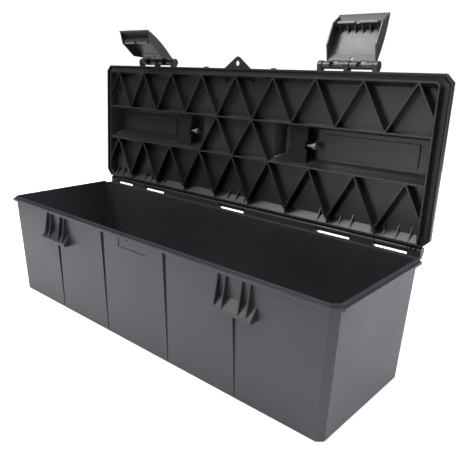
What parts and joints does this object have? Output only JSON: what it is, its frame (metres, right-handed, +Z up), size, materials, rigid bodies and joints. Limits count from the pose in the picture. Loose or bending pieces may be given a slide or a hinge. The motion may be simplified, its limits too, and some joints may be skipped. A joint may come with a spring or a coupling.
{
  "type": "long toolbox",
  "caption": "Long open plastic toolbox with a ribbed hinged lid standing up on its back edge, two flip latches on the lid front and hooked catches on the front wall.",
  "frame": {"origin": "centre of the flat base, on the surface it stands on", "axes": "+X along the box to its right end seen from the front, -Y to the front with the catches, +Z up"},
  "size_m": [1.018, 0.4006, 0.716],
  "materials": {
    "shell_plastic": "fine moulded grain, dark grey",
    "lid_plastic": "fine moulded grain, dark grey",
    "latch_plastic": "satin, dark grey",
    "seal_rubber": "matt",
    "clamp_plastic": "satin, mid grey",
    "steel": "bright drawn wire",
    "knob_plastic": "light grey"
  },
  "bodies": {
    "box": {"box_shell": "shell_plastic", "hinge_rod": "steel", "hinge_rod_plugs": "latch_plastic"},
    "lid": {"lid_shell": "lid_plastic", "lid_seal": "seal_rubber", "latch_pin_left": "steel", "latch_pin_right": "steel", "clamp_plate_left": "clamp_plastic", "clamp_plate_right": "clamp_plastic"},
    "left_latch": {"latch_cover_left": "latch_plastic"},
    "right_latch": {"latch_cover_right": "latch_plastic"},
    "left_clamp": {"clamp_screw_left": "knob_plastic", "clamp_nut_left": "steel"},
    "right_clamp": {"clamp_screw_right": "knob_plastic", "clamp_nut_right": "steel"}
  },
  "joints": [
    {"name": "lid_hinge", "type": "hinge", "parent": "box", "child": "lid", "pos_m": [0, 0.1715, 0.2685], "axis": [1, 0, 0], "range_deg": [0, 92.64]},
    {"name": "left_latch_hinge", "type": "hinge", "parent": "lid", "child": "left_latch", "pos_m": [-0.2905, 0.18393, 0.61399], "axis": [1, 0, 0], "range_deg": [-88, 36.7]},
    {"name": "right_latch_hinge", "type": "hinge", "parent": "lid", "child": "right_latch", "pos_m": [0.2905, 0.18393, 0.61399], "axis": [1, 0, 0], "range_deg": [-15.2, 109.5]},
    {"name": "left_clamp_screw_turn", "type": "hinge", "parent": "lid", "child": "left_clamp", "pos_m": [-0.1825, 0.18703, 0.44247], "axis": [1, 0, 0], "continuous": true},
    {"name": "right_clamp_screw_turn", "type": "hinge", "parent": "lid", "child": "right_clamp", "pos_m": [0.1825, 0.18703, 0.44247], "axis": [1, 0, 0], "continuous": true}
  ]
}
